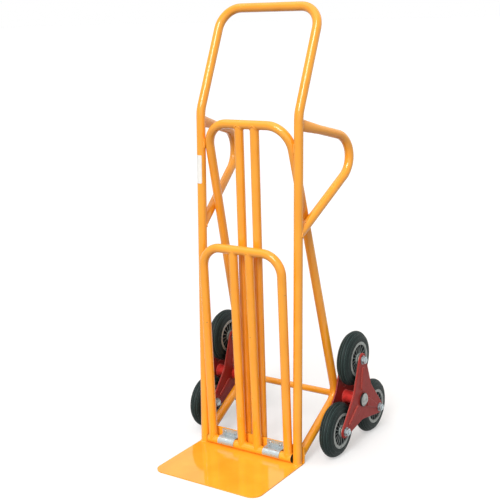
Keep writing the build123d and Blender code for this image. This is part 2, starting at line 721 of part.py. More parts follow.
with BuildPart() as tyre_form:
    with BuildSketch(wheel_plane):
        with BuildLine():
            EllipticalCenterArc((0, tyre_seat), tyre_half, tyre_depth, start_angle=0, arc_size=180)
            Line((-tyre_half, tyre_seat), (tyre_half, tyre_seat))
        make_face()
        with Locations(*groove_centres):
            Rectangle(TREAD_GROOVE_WIDTH, 2 * TREAD_GROOVE_DEPTH, mode=Mode.SUBTRACT)
    revolve(axis=wheel_axis)

with BuildPart() as hub_form:
    with BuildSketch(wheel_plane):
        with Locations((0, RIM_D / 2)):
            Rectangle(rim_width, RIM_WALL, align=(Align.CENTER, Align.MAX))
        with Locations((0, BOSS_D / 2)):
            Rectangle(WEB_T, rim_inner - BOSS_D / 2, align=(Align.CENTER, Align.MIN))
            Rectangle(boss_width, BOSS_D / 2, align=(Align.CENTER, Align.MAX))
    revolve(axis=wheel_axis)
    spoke_width = rim_width - 2 * SPOKE_RECESS
    with BuildSketch(Plane.YZ.offset(-spoke_width / 2)):
        with PolarLocations((rim_inner + BOSS_D / 2) / 2, SPOKE_COUNT):
            Rectangle(rim_inner - BOSS_D / 2 + SPOKE_T, SPOKE_T)
    extrude(amount=spoke_width)
    with BuildSketch(Plane.YZ):
        Circle(WHEEL_BUSH_D / 2 + PRESS_GAP)
    extrude(amount=boss_width, both=True, mode=Mode.SUBTRACT)

with BuildPart() as bush_form:
    with BuildSketch(Plane.YZ):
        Circle(WHEEL_BUSH_D / 2)
        Circle(BOLT_D / 2 + WHEEL_RUNNING_FIT, mode=Mode.SUBTRACT)
    extrude(amount=wheel_bush_length / 2, both=True)

for side_name, side in SIDES:
    for arm_name, angle in ARMS:
        wheel_y, wheel_z = polar(axle_centre, STAR_RADIUS, angle)
        for piece_name, form in (("tyre", tyre_form), ("wheel_hub", hub_form), ("wheel_bush", bush_form)):
            with BuildPart() as wheel_piece:
                with Locations((side * wheel_x, wheel_y, wheel_z)):
                    add(form.part)
            write_node(wheel_piece.part, f"{side_name}_{arm_name}_{piece_name}")
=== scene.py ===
import json
from math import cos, pi, radians, sin, sqrt

import bmesh
import bpy
from bpy.props import FloatProperty, FloatVectorProperty, PointerProperty
from mathutils import Matrix, Vector
from mathutils.bvhtree import BVHTree


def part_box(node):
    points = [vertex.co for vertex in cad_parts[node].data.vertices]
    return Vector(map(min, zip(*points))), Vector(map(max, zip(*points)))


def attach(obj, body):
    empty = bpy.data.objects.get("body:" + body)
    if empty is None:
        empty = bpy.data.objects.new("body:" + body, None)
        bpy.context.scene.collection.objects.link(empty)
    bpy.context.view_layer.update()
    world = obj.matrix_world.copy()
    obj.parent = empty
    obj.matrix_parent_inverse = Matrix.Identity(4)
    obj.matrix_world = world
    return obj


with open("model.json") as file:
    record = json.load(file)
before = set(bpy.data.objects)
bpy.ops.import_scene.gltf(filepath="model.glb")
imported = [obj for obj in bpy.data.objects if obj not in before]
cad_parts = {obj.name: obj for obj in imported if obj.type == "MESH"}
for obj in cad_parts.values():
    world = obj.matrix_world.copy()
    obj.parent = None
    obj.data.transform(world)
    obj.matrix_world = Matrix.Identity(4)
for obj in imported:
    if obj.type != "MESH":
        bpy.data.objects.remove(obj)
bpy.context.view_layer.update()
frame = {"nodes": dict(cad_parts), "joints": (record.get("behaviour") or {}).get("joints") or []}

bl_info = {
    "name": "Stair-climbing hand truck",
    "version": (1, 0, 0),
    "blender": (4, 5, 0),
    "location": "View3D > Sidebar > Hand Truck",
    "description": "Finishes, welds and small parts of a stair-climbing hand truck, and its studio",
    "category": "Object",
}

MM = 0.001
SIDES = {"left": -1, "right": 1}
ARMS = ("top", "front", "rear")

JOINT_PLACES = {joint["name"]: Vector(joint["pos_m"]) for joint in frame["joints"]}
TUBE_RADIUS = (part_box("hinge_tube")[1][2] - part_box("hinge_tube")[0][2]) / 2
UPRIGHT_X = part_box("main_frame_tube")[1][0] - TUBE_RADIUS
UPRIGHT_LEAN = radians(2.6)
UPRIGHT_WAY = Vector((0, sin(UPRIGHT_LEAN), cos(UPRIGHT_LEAN)))

# Rays that a material sends to find edges and hollows
MASK_SAMPLES = 6

# Welds: how near two pieces are where they meet, and how finely their beads are drawn
SEAM_REACH = 0.4 * MM
SEAM_STEPS = 48
BEAD_SIDES = 10
BEAD_STEPS_PER_RIPPLE = 5
BEAD_RIPPLE = 0.16
BEAD_TIP = 0.05
FEWEST_POINTS = 8


def linear(hex_colour):
    """Linear numbers of an sRGB hex colour, as shaders take them."""
    channels = [int(hex_colour[place:place + 2], 16) / 255 for place in (1, 3, 5)]
    return [c / 12.92 if c <= 0.04045 else ((c + 0.055) / 1.055) ** 2.4 for c in channels]


def colour_property(name, description, hex_colour):
    """A colour that the sidebar shows as a swatch."""
    return FloatVectorProperty(
        name=name,
        description=description,
        default=linear(hex_colour),
        min=0,
        max=1,
        subtype="COLOR",
    )


def length_property(name, description, millimetres):
    """A length that the sidebar shows in the scene's unit."""
    return FloatProperty(
        name=name,
        description=description,
        default=millimetres * MM,
        min=0,
        precision=5,
        subtype="DISTANCE",
        unit="LENGTH",
    )


def lamp_property(name, description, strength):
    """A lamp's strength, in watts per square metre."""
    return FloatProperty(name=name, description=description, default=strength, min=0)


def spread_property(name, description, degrees):
    """An angle that the sidebar shows in degrees."""
    return FloatProperty(
        name=name,
        description=description,
        default=radians(degrees),
        min=0,
        subtype="ANGLE",
        unit="ROTATION",
    )


class TruckColours(bpy.types.PropertyGroup):
    """Colours of the truck's finishes"""

    orange: colour_property("Orange", "Powder coat on the tubes and the toe plate", "#FAA82B")
    orange_thin: colour_property("Thin orange", "The same coat where it is thinner", "#F5A024")
    # Painted reflection: a paler copy of the orange, for the bright surroundings that the flat sheet
    # reflects
    orange_painted_sheen: colour_property("Flat orange", "The same coat where it is thick, on sheet", "#FDB433")
    red: colour_property("Red", "Enamel on the star plates", "#9C2722")
    red_dusty: colour_property("Dusty red", "The same enamel under dust", "#8B3028")
    # Painted highlight and wear: the pale red along edges and ribs
    red_worn_highlight: colour_property("Rubbed red", "The same enamel along edges and ribs", "#CC8478")
    # Painted light: a brighter copy of the plates' red for the hub tubes and their welds
    hub_red_lit: colour_property("Hub red", "Enamel on the stars' hub tubes and welds", "#D23732")
    zinc: colour_property("Zinc", "Plating on straps, rivets, caps and bolts", "#C4CFD3")
    zinc_dull: colour_property("Dull zinc", "The same plating where it has dulled", "#ABB7BB")
    cap: colour_property("Cap", "Plating on the axle caps, greyed by handling", "#A7AAA8")
    cap_dull: colour_property("Dull cap", "The same caps where they have dulled", "#7F8380")
    # Painted shade: the dark colour that zinc pieces take round heads and in bends
    crevice_shade: colour_property("Grime", "Dirt lodged round bolts and rivets", "#3A3330")
    rubber: colour_property("Rubber", "Solid tyres", "#0B1817")
    rubber_dusty: colour_property("Dusty rubber", "Tyres where dust sits on them", "#152422")
    dust: colour_property("Dust", "Dust in the tread's grooves", "#5A6C69")
    hub_grey: colour_property("Hub grey", "Moulded wheel hubs", "#A3ABA8")
    # Painted shade: the hubs' colour deep between the spokes, where shade falls
    hub_painted_shade: colour_property("Hub shade", "Wheel hubs deep between the spokes", "#2A3335")
    black: colour_property("Black", "Moulded plugs and bushes", "#161717")
    nylon: colour_property("Nylon", "Bearing bushes", "#D9D4C4")
    label: colour_property("Label", "Blank label on the left upright", "#F3F3EE")
    chip: colour_property("Chip", "Bare steel where the coat has chipped", "#4A3A30")


class TruckSizes(bpy.types.PropertyGroup):
    """Sizes of what the welder and the assembler added"""

    bead: length_property("Weld bead", "Radius of a weld bead", 2.1)
    bead_pitch: length_property("Weld pitch", "Length of one ripple of a bead", 3.2)
    small_bead: length_property("Small bead", "Radius of a bead beside moving pieces", 1.6)
    seat_run: length_property("Seat weld", "Length of the weld where brace and upright touch", 26)
    label_height: length_property("Label height", "Along the upright", 75)
    label_width: length_property("Label width", "Around the upright", 29)
    label_middle: length_property("Label place", "Height of the label's middle above the floor", 768)
    label_corner: length_property("Label corner", "Radius of the label's corners", 3)
    label_film: length_property("Label film", "Thickness of the label", 0.2)
    thread_pitch: length_property("Thread pitch", "Pitch of the wheel bolts' thread", 1.75)
    thread_depth: length_property("Thread depth", "Height of the wheel bolts' thread", 0.7)
    mould_ring: length_property("Mould ring", "Height of the raised rings on a tyre's side", 0.8)


class TruckStudio(bpy.types.PropertyGroup):
    """Light and floor of the studio"""

    key: lamp_property("Key", "The lamp in front, above", 2.1)
    key_spread: spread_property("Key spread", "How wide the lamp in front looks from the truck", 25)
    low: lamp_property("Low fill", "The lamp low in front, beside the camera", 0.95)
    low_spread: spread_property("Low spread", "How wide the low lamp looks from the truck", 70)
    top: lamp_property("Top fill", "The lamp overhead", 1.05)
    top_spread: spread_property("Top spread", "How wide the lamp overhead looks from the truck", 70)
    back: lamp_property("Back fill", "The lamp behind", 0.6)
    back_spread: spread_property("Back spread", "How wide the lamp behind looks from the truck", 80)
    ambient: FloatProperty(
        name="Ambient",
        description="Strength of the light from all round",
        default=0.4,
        min=0,
        max=1,
        subtype="FACTOR",
    )
    floor_grey: FloatProperty(
        name="Floor",
        description="How much light the floor gives back",
        default=0.17,
        min=0,
        max=1,
        subtype="FACTOR",
    )


# Finishes


def add_node(tree, kind, settings=None, links=None):
    """Add a node, set its options and sockets by name or number, and link its sockets to others."""
    node = tree.nodes.new(kind)
    for name, value in (settings or {}).items():
        if isinstance(name, str) and hasattr(node, name):
            setattr(node, name, value)
        else:
            node.inputs[name].default_value = value
    for name, source in (links or {}).items():
        tree.links.new(source, node.inputs[name])
    return node


def rgba(colour):
    """A colour with the alpha that sockets ask for."""
    return (*colour, 1)


def per_metre(millimetres):
    """Texture scale that repeats a pattern about every so many millimetres."""
    return 1000 / millimetres


def new_finish(name):
    """An empty material, and its tree of nodes."""
    material = bpy.data.materials.new(name)
    material.use_nodes = True
    material.node_tree.nodes.clear()
    return material, material.node_tree


def close_finish(tree, settings, links):
    """End a finish with its shader."""
    shader = add_node(tree, "ShaderNodeBsdfPrincipled", settings, links)
    add_node(tree, "ShaderNodeOutputMaterial", links={"Surface": shader.outputs["BSDF"]})


def patches(tree, places, millimetres, detail, low, high):
    """0 to 1 in cloudy patches of a size: noise, spread out between two of its levels."""
    noise = add_node(
        tree,
        "ShaderNodeTexNoise",
        {"Scale": per_metre(millimetres), "Detail": detail},
        {"Vector": places},
    )
    patch = add_node(
        tree,
        "ShaderNodeMapRange",
        {"From Min": low, "From Max": high},
        {"Value": noise.outputs["Fac"]},
    )
    return patch.outputs["Result"]


def pebbled(tree, places, millimetres, detail, strength, height):
    """Normal of a skin with pebbles of a size."""
    noise = add_node(
        tree,
        "ShaderNodeTexNoise",
        {"Scale": per_metre(millimetres), "Detail": detail},
        {"Vector": places},
    )
    skin = add_node(
        tree,
        "ShaderNodeBump",
        {"Strength": strength, "Distance": height},
        {"Height": noise.outputs["Fac"]},
    )
    return skin.outputs["Normal"]


def near_edges(tree, reach, start, full, most):
    """0 to the most along edges: where the normal, rounded off within a reach, leaves the face's own."""
    rounded = add_node(tree, "ShaderNodeBevel", {"samples": MASK_SAMPLES, "Radius": reach})
    facing = add_node(tree, "ShaderNodeNewGeometry")
    bend = add_node(
        tree,
        "ShaderNodeVectorMath",
        {"operation": "DOT_PRODUCT"},
        {0: rounded.outputs["Normal"], 1: facing.outputs["Normal"]},
    )
    edge = add_node(
        tree,
        "ShaderNodeMapRange",
        {"From Min": start, "From Max": full, "To Max": most},
        {"Value": bend.outputs["Value"]},
    )
    return edge.outputs["Result"]


def in_hollows(tree, reach, start, full, most):
    """0 to the most in grooves and corners, which see less of the open within a reach."""
    open_side = add_node(tree, "ShaderNodeAmbientOcclusion", {"samples": MASK_SAMPLES, "Distance": reach})
    hollow = add_node(
        tree,
        "ShaderNodeMapRange",
        {"From Min": start, "From Max": full, "To Max": most},
        {"Value": open_side.outputs["AO"]},
    )
    return hollow.outputs["Result"]


def powder_coat(name, colours, roughness):
    """Polyester powder coat, sprayed on and baked.

    It looks even and glossy, with orange peel in its reflections and a few specks of baked-in dirt.
    """
    material, tree = new_finish(name)
    places = add_node(tree, "ShaderNodeTexCoord").outputs["Object"]
    # The coat's thickness drifts over a hand's breadth.
    coat = add_node(
        tree,
        "ShaderNodeMix",
        {"data_type": "RGBA", 6: rgba(colours.orange_thin), 7: rgba(colours.orange)},
        {"Factor": patches(tree, places, millimetres=70, detail=3, low=0.35, high=0.65)},
    )
    # Specks are about 2 mm across.
    cells = add_node(tree, "ShaderNodeTexVoronoi", {"Scale": per_metre(42)}, {"Vector": places})
    speck = add_node(
        tree,
        "ShaderNodeMapRange",
        {"From Min": 0.024, "From Max": 0.034, "To Min": 0.75, "To Max": 0},
        {"Value": cells.outputs["Distance"]},
    )
    specked = add_node(
        tree,
        "ShaderNodeMix",
        {"data_type": "RGBA", 7: rgba(colours.chip)},
        {"Factor": speck.outputs["Result"], 6: coat.outputs[2]},
    )
    gloss = add_node(
        tree,
        "ShaderNodeMapRange",
        {"To Min": roughness - 0.04, "To Max": roughness + 0.05},
        {"Value": patches(tree, places, millimetres=25, detail=3, low=0.3, high=0.7)},
    )
    # Orange peel is about 1 mm; it is drawn at 3 mm so that it shows.
    peel = pebbled(tree, places, millimetres=3, detail=1, strength=0.35, height=0.06 * MM)
    links = {"Base Color": specked.outputs[2], "Roughness": gloss.outputs["Result"], "Normal": peel}
    close_finish(tree, {}, links)
    return material


def scuffed_coat(name, colours, roughness):
    """The same powder coat on flat sheet, where it flows smoother, painted paler in patches as painted
    reflection of the bright surroundings.

    Its reflections are sharp, its edges are worn to bare steel in places, and loads pushed on and off have
    left fine scuffs along the truck.
    """
    material, tree = new_finish(name)
    places = add_node(tree, "ShaderNodeTexCoord").outputs["Object"]
    # Painted reflection: patches of the paler copy stand in for the bright surroundings that the sheet
    # reflects.
    coat = add_node(
        tree,
        "ShaderNodeMix",
        {"data_type": "RGBA", 6: rgba(colours.orange), 7: rgba(colours.orange_painted_sheen)},
        {"Factor": patches(tree, places, millimetres=90, detail=3, low=0.35, high=0.65)},
    )
    edge = near_edges(tree, reach=1.0 * MM, start=0.97, full=0.85, most=1)
    knocks = patches(tree, places, millimetres=14, detail=4, low=0.55, high=0.62)
    worn = add_node(tree, "ShaderNodeMath", {"operation": "MULTIPLY"}, {0: edge, 1: knocks})
    chipped = add_node(
        tree,
        "ShaderNodeMix",
        {"data_type": "RGBA", 7: rgba(colours.chip)},
        {"Factor": worn.outputs["Value"], 6: coat.outputs[2]},
    )
    # Scuffs are finer than a millimetre across; they are drawn at 2 mm so that they show.
    drawn_out = add_node(
        tree,
        "ShaderNodeMapping",
        {"Scale": (per_metre(2), per_metre(80), per_metre(80))},
        {"Vector": places},
    )
    scuffs = add_node(
        tree,
        "ShaderNodeTexNoise",
        {"Scale": 1, "Detail": 4},
        {"Vector": drawn_out.outputs["Vector"]},
    )
    gloss = add_node(
        tree,
        "ShaderNodeMapRange",
        {"From Min": 0.45, "From Max": 0.75, "To Min": roughness, "To Max": roughness + 0.08},
        {"Value": scuffs.outputs["Fac"]},
    )
    peel = pebbled(tree, places, millimetres=4, detail=1, strength=0.2, height=0.04 * MM)
    links = {"Base Color": chipped.outputs[2], "Roughness": gloss.outputs["Result"], "Normal": peel}
    close_finish(tree, {}, links)
    return material


def red_enamel(name, base, dusty, rubbed, roughness):
    """Air-dried enamel on pressed steel.

    It looks satin and a little dusty, with a fine pebble, and is paler along its edges and ribs, partly
    from wear and partly as painted highlight.
    """
    material, tree = new_finish(name)
    places = add_node(tree, "ShaderNodeTexCoord").outputs["Object"]
    dust = patches(tree, places, millimetres=9, detail=5, low=0.42, high=0.78)
    coat = add_node(
        tree,
        "ShaderNodeMix",
        {"data_type": "RGBA", 6: rgba(base), 7: rgba(dusty)},
        {"Factor": dust},
    )
    # Painted highlight and wear: edges and ribs turn to the pale rubbed colour.
    edged = add_node(
        tree,
        "ShaderNodeMix",
        {"data_type": "RGBA", 7: rgba(rubbed)},
        {"Factor": near_edges(tree, reach=2.2 * MM, start=0.99, full=0.9, most=0.85), 6: coat.outputs[2]},
    )
    gloss = add_node(
        tree,
        "ShaderNodeMapRange",
        {"To Min": roughness, "To Max": roughness + 0.15},
        {"Value": dust},
    )
    pebble = pebbled(tree, places, millimetres=2.5, detail=2, strength=0.4, height=0.08 * MM)
    links = {"Base Color": edged.outputs[2], "Roughness": gloss.outputs["Result"], "Normal": pebble}
    close_finish(tree, {"Specular IOR Level": 0.18}, links)
    return material


def zinc_plate(name, bright, dulled, crevice_shade, chalky):
    """Zinc-plated steel, barrel plated.

    It looks pale and soft-bright, with faint spangle and patches of chalky bloom that shine less, and is
    painted dark round heads and in bends as painted shade.
    """
    material, tree = new_finish(name)
    places = add_node(tree, "ShaderNodeTexCoord").outputs["Object"]
    spangle = add_node(tree, "ShaderNodeTexVoronoi", {"Scale": per_metre(5)}, {"Vector": places})
    grains = add_node(tree, "ShaderNodeSeparateColor", links={"Color": spangle.outputs["Color"]})
    bloom = patches(tree, places, millimetres=11, detail=3, low=0.35, high=0.65)
    dull = add_node(
        tree,
        "ShaderNodeMath",
        {"operation": "MULTIPLY_ADD", "use_clamp": True, 1: 0.3},
        {0: grains.outputs["Red"], 2: bloom},
    ).outputs["Value"]
    plating = add_node(
        tree,
        "ShaderNodeMix",
        {"data_type": "RGBA", 6: rgba(bright), 7: rgba(dulled)},
        {"Factor": dull},
    )
    # Painted shade: darker where hollows see less of the open, round heads and in bends.
    shaded_hollows = add_node(
        tree,
        "ShaderNodeMix",
        {"data_type": "RGBA", 7: rgba(crevice_shade)},
        {"Factor": in_hollows(tree, reach=4 * MM, start=0.88, full=0.4, most=0.9), 6: plating.outputs[2]},
    )
    shine = add_node(tree, "ShaderNodeMapRange", {"To Min": 0.95, "To Max": 1 - chalky}, {"Value": dull})
    gloss = add_node(tree, "ShaderNodeMapRange", {"To Min": 0.22, "To Max": 0.4}, {"Value": dull})
    skin = add_node(tree, "ShaderNodeBump", {"Strength": 0.25, "Distance": 0.05 * MM}, {"Height": bloom})
    links = {
        "Base Color": shaded_hollows.outputs[2],
        "Metallic": shine.outputs["Result"],
        "Roughness": gloss.outputs["Result"],
        "Normal": skin.outputs["Normal"],
    }
    close_finish(tree, {}, links)
    return material


def solid_rubber(colours):
    """Solid rubber, moulded.

    It looks near black and dull, greyed in patches and along the tread's grooves, where dust stays.
    """
    material, tree = new_finish("moulded_rubber")
    places = add_node(tree, "ShaderNodeTexCoord").outputs["Object"]
    patchy = patches(tree, places, millimetres=7, detail=6, low=0.4, high=0.75)
    black = add_node(
        tree,
        "ShaderNodeMix",
        {"data_type": "RGBA", 6: rgba(colours.rubber), 7: rgba(colours.rubber_dusty)},
        {"Factor": patchy},
    )
    dusted = add_node(
        tree,
        "ShaderNodeMix",
        {"data_type": "RGBA", 7: rgba(colours.dust)},
        {"Factor": in_hollows(tree, reach=2.5 * MM, start=0.9, full=0.35, most=0.9), 6: black.outputs[2]},
    )
    gloss = add_node(tree, "ShaderNodeMapRange", {"To Min": 0.5, "To Max": 0.72}, {"Value": patchy})
    grain = pebbled(tree, places, millimetres=1.5, detail=2, strength=0.5, height=0.1 * MM)
    links = {"Base Color": dusted.outputs[2], "Roughness": gloss.outputs["Result"], "Normal": grain}
    close_finish(tree, {"Specular IOR Level": 0.22}, links)
    return material


def hub_plastic(colours):
    """Polypropylene, moulded.

    It looks mid grey and silky on the hub's ring and spokes, with patches of dirt, and is painted dark deep
    in its pockets as painted shade.
    """
    material, tree = new_finish("moulded_polypropylene")
    places = add_node(tree, "ShaderNodeTexCoord").outputs["Object"]
    low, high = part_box("right_front_wheel_hub")
    middle = (low[0] + high[0]) / 2
    half = (high[0] - low[0]) / 2
    # How far a place is from the middle plane of its wheel, on either side of the truck.
    across = add_node(tree, "ShaderNodeSeparateXYZ", links={"Vector": places})
    from_middle = add_node(tree, "ShaderNodeMath", {"operation": "ABSOLUTE"}, {0: across.outputs["X"]})
    off_wheel = add_node(
        tree,
        "ShaderNodeMath",
        {"operation": "SUBTRACT", 1: middle},
        {0: from_middle.outputs["Value"]},
    )
    depth = add_node(tree, "ShaderNodeMath", {"operation": "ABSOLUTE"}, {0: off_wheel.outputs["Value"]})
    # Painted shade: the colour darkens towards the wheel's middle plane, deep in the pockets between the
    # spokes.
    shallow = add_node(
        tree,
        "ShaderNodeMapRange",
        {"From Min": 0.68 * half, "From Max": 0.95 * half},
        {"Value": depth.outputs["Value"]},
    )
    shaded = add_node(
        tree,
        "ShaderNodeMix",
        {"data_type": "RGBA", 6: rgba(colours.hub_painted_shade), 7: rgba(colours.hub_grey)},
        {"Factor": shallow.outputs["Result"]},
    )
    dirt = patches(tree, places, millimetres=6, detail=5, low=0.5, high=0.8)
    dirty = add_node(
        tree,
        "ShaderNodeMix",
        {"data_type": "RGBA", 7: rgba(colours.rubber_dusty)},
        {"Factor": dirt, 6: shaded.outputs[2]},
    )
    gloss = add_node(tree, "ShaderNodeMapRange", {"To Min": 0.42, "To Max": 0.6}, {"Value": dirt})
    close_finish(tree, {}, {"Base Color": dirty.outputs[2], "Roughness": gloss.outputs["Result"]})
    return material


def flowed_film(name, base, worn, millimetres, roughness):
    """Moulded plastic or vinyl film, plain coloured.

    It looks even, with the faint, uneven sheen that its flow or its rubbing down left.
    """
    material, tree = new_finish(name)
    places = add_node(tree, "ShaderNodeTexCoord").outputs["Object"]
    sheen = patches(tree, places, millimetres, detail=3, low=0.35, high=0.7)
    body = add_node(
        tree,
        "ShaderNodeMix",
        {"data_type": "RGBA", 6: rgba(base), 7: rgba(worn)},
        {"Factor": sheen},
    )
    gloss = add_node(
        tree,
        "ShaderNodeMapRange",
        {"To Min": roughness, "To Max": roughness + 0.12},
        {"Value": sheen},
    )
    close_finish(tree, {}, {"Base Color": body.outputs[2], "Roughness": gloss.outputs["Result"]})
    return material


def dress(names, material):
    """Give CAD pieces, by name, one material."""
    for name in names:
        materials = frame["nodes"][name].data.materials
        materials.clear()
        materials.append(material)


# Meshes


def new_piece(name, bm, material, body):
    """A smooth mesh piece that rides on a body."""
    bmesh.ops.recalc_face_normals(bm, faces=bm.faces)
    mesh = bpy.data.meshes.new(name)
    bm.to_mesh(mesh)
    bm.free()
    mesh.shade_smooth()
    mesh.materials.append(material)
    piece = bpy.data.objects.new(name, mesh)
    bpy.context.scene.collection.objects.link(piece)
    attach(piece, body)
    return piece


def surface_of(node_name):
    """A node's surface, for asking what is near it."""
    mesh = frame["nodes"][node_name].data
    return BVHTree.FromPolygons([v.co for v in mesh.vertices], [p.vertices for p in mesh.polygons])


def seam(node_name, onto_name, axis, keep, heart=None):
    """Points round the end of one tube where it meets another piece, in order round the tube's axis.

    Its end is the one whose points pass the keep test. Of its two skins, the one farther from the heart
    counts, or from the seam's middle where no heart is given.
    """
    other = surface_of(onto_name)
    touching = [
        v.co.copy()
        for v in frame["nodes"][node_name].data.vertices
        if keep(v.co) and other.find_nearest(v.co, SEAM_REACH)[0] is not None
    ]
    if len(touching) < FEWEST_POINTS:
        raise RuntimeError(f"no seam between {node_name} and {onto_name}")
    axis = Vector(axis).normalized()
    middle = sum(touching, Vector()) / len(touching)
    outer_from = Vector(heart) if heart else middle
    first = axis.orthogonal().normalized()
    second = axis.cross(first)
    ring = {}
    for point in touching:
        arm = point - middle
        turn = Vector((arm.dot(first), arm.dot(second))).angle_signed(Vector((1, 0)), 0)
        step = round(turn / (2 * pi) * SEAM_STEPS) % SEAM_STEPS
        if step not in ring or (point - outer_from).length > (ring[step] - outer_from).length:
            ring[step] = point
    return [ring[step] for step in sorted(ring)]


def even_points(points, spacing, closed):
    """Points at an even spacing along a line, and that spacing."""
    line = points + points[:1] if closed else points
    lengths = [0]
    for start, end in zip(line, line[1:]):
        lengths.append(lengths[-1] + (end - start).length)
    count = max(FEWEST_POINTS, round(lengths[-1] / spacing))
    result = []
    at = 0
    for step in range(count if closed else count + 1):
        want = lengths[-1] * step / count
        while at < len(lengths) - 2 and lengths[at + 1] < want:
            at += 1
        span = lengths[at + 1] - lengths[at]
        share = (want - lengths[at]) / span if span else 0
        result.append(line[at].lerp(line[at + 1], share))
    return result, lengths[-1] / count


def add_bead(bm, points, radius, pitch, ripple=BEAD_RIPPLE, closed=True, outward=None):
    """Add a rounded bead along a line of points, rippled as a welder leaves it."""
    points, spacing = even_points(points, pitch / BEAD_STEPS_PER_RIPPLE, closed)
    count = len(points)
    middle = sum(points, Vector()) / count
    rings = []
    for place, point in enumerate(points):
        if closed:
            along = (points[(place + 1) % count] - points[place - 1]).normalized()
            swell = 1
        else:
            along = (points[min(place + 1, count - 1)] - points[max(place - 1, 0)]).normalized()
            # Both ends of an open bead round off.
            ends = min(place, count - 1 - place) * spacing / radius
            swell = sqrt(max(BEAD_TIP, 1 - (1 - min(1, ends)) ** 2))
        side = (point - middle) if outward is None else Vector(outward)
        side = (side - along * side.dot(along)).normalized()
        other = along.cross(side)
        size = radius * swell * (1 + ripple * cos(2 * pi * place / BEAD_STEPS_PER_RIPPLE))
        rings.append([
            bm.verts.new(point + size * (cos(a) * side + sin(a) * other))
            for a in (2 * pi * n / BEAD_SIDES for n in range(BEAD_SIDES))
        ])
    pairs = list(zip(rings, rings[1:]))
    if closed:
        pairs.append((rings[-1], rings[0]))
    for ring, following in pairs:
        for n in range(BEAD_SIDES):
            beside = (n + 1) % BEAD_SIDES
            bm.faces.new((ring[n], ring[beside], following[beside], following[n]))
    if not closed:
        bm.faces.new(rings[0])
        bm.faces.new(rings[-1])


def add_part_bead(bm, ring, clear, radius, pitch):
    """Add a bead along the clear part of a seam."""
    if all(clear):
        add_bead(bm, ring, radius, pitch)
        return
    first = clear.index(False)
    order = [*range(first, len(ring)), *range(first)]
    line = [ring[place] for place in order if clear[place]]
    add_bead(bm, line, radius, pitch, closed=False)


def circle_points(middle, radius, steps=64):
    """A circle of points round an X axis."""
    middle = Vector(middle)
    return [
        middle + radius * Vector((0, cos(a), sin(a)))
        for a in (2 * pi * n / steps for n in range(steps))
    ]


# Operators


class TRUCK_OT_coat_frame(bpy.types.Operator):
    """Powder coat the welded tubes, the folding toe frame, the axle and the toe plate"""

    bl_idname = "truck.coat_frame"
    bl_label = "Coat frame"

    TUBES = (
        "main_frame_tube", "rear_brace_tube", "hinge_tube", "folding_loop", "main_axle",
        "left_back_bar", "right_back_bar", "left_side_grip", "right_side_grip",
        "left_folding_bar", "right_folding_bar",
    )

    def execute(self, context):
        colours = context.scene.truck_colours
        dress(self.TUBES, powder_coat("powder_coat_tube", colours, roughness=0.13))
        dress(["toe_plate"], scuffed_coat("powder_coat_sheet", colours, roughness=0.06))
        return {"FINISHED"}


class TRUCK_OT_paint_stars(bpy.types.Operator):
    """Enamel the star plates and their hub tubes"""

    bl_idname = "truck.paint_stars"
    bl_label = "Paint stars"

    def execute(self, context):
        colours = context.scene.truck_colours
        plates = [f"{side}_{layer}_star_plate" for side in SIDES for layer in ("inner", "outer")]
        tubes = [f"{side}_star_hub_tube" for side in SIDES]
        # rubbed is the pale red of edges and ribs: painted highlight as well as wear.
        rubbed = colours.red_worn_highlight
        dress(plates, red_enamel("enamel_plate", colours.red, colours.red_dusty, rubbed, roughness=0.42))
        # The hub tubes' enamel is a brighter copy of the plates' red, as painted light.
        dress(tubes, red_enamel("enamel_tube", colours.hub_red_lit, colours.red, rubbed, roughness=0.32))
        return {"FINISHED"}


class TRUCK_OT_plate_hardware(bpy.types.Operator):
    """Zinc plate the straps, rivets, washers, caps, bolts, nuts and sleeves"""

    bl_idname = "truck.plate_hardware"
    bl_label = "Plate hardware"

    FASTENERS = ("wheel_bolts", "wheel_nuts", "bolt_washers", "spacer_sleeves")

    def execute(self, context):
        colours = context.scene.truck_colours
        straps = ["hinge_rivets", *(f"{side}_hinge_strap" for side in SIDES)]
        fasteners = ["axle_washers", *(f"{side}_{part}" for side in SIDES for part in self.FASTENERS)]
        caps = [f"{side}_axle_cap" for side in SIDES]
        zinc, dull, crevice_shade = colours.zinc, colours.zinc_dull, colours.crevice_shade
        dress(straps, zinc_plate("zinc_plated_strip", zinc, dull, crevice_shade, chalky=0.6))
        dress(fasteners, zinc_plate("zinc_plated_bolt", zinc, dull, crevice_shade, chalky=0.2))
        dress(caps, zinc_plate("zinc_plated_cap", colours.cap, colours.cap_dull, crevice_shade, chalky=0.4))
        return {"FINISHED"}


class TRUCK_OT_mould_plastics(bpy.types.Operator):
    """Mould the hinge plugs, the star bushes and the wheels' bearing bushes"""

    bl_idname = "truck.mould_plastics"
    bl_label = "Mould plastics"

    FLOW_MM = 8
    NYLON_WEAR = 0.8

    def execute(self, context):
        colours = context.scene.truck_colours
        black = [f"{side}_{part}" for side in SIDES for part in ("hinge_plug", "star_bushes")]
        bearings = [f"{side}_{arm}_wheel_bush" for side in SIDES for arm in ARMS]
        worn = [self.NYLON_WEAR * channel for channel in colours.nylon]
        name = "moulded_polyethylene"
        dress(black, flowed_film(name, colours.black, colours.rubber, self.FLOW_MM, roughness=0.38))
        dress(bearings, flowed_film("moulded_nylon", colours.nylon, worn, self.FLOW_MM, roughness=0.35))
        return {"FINISHED"}


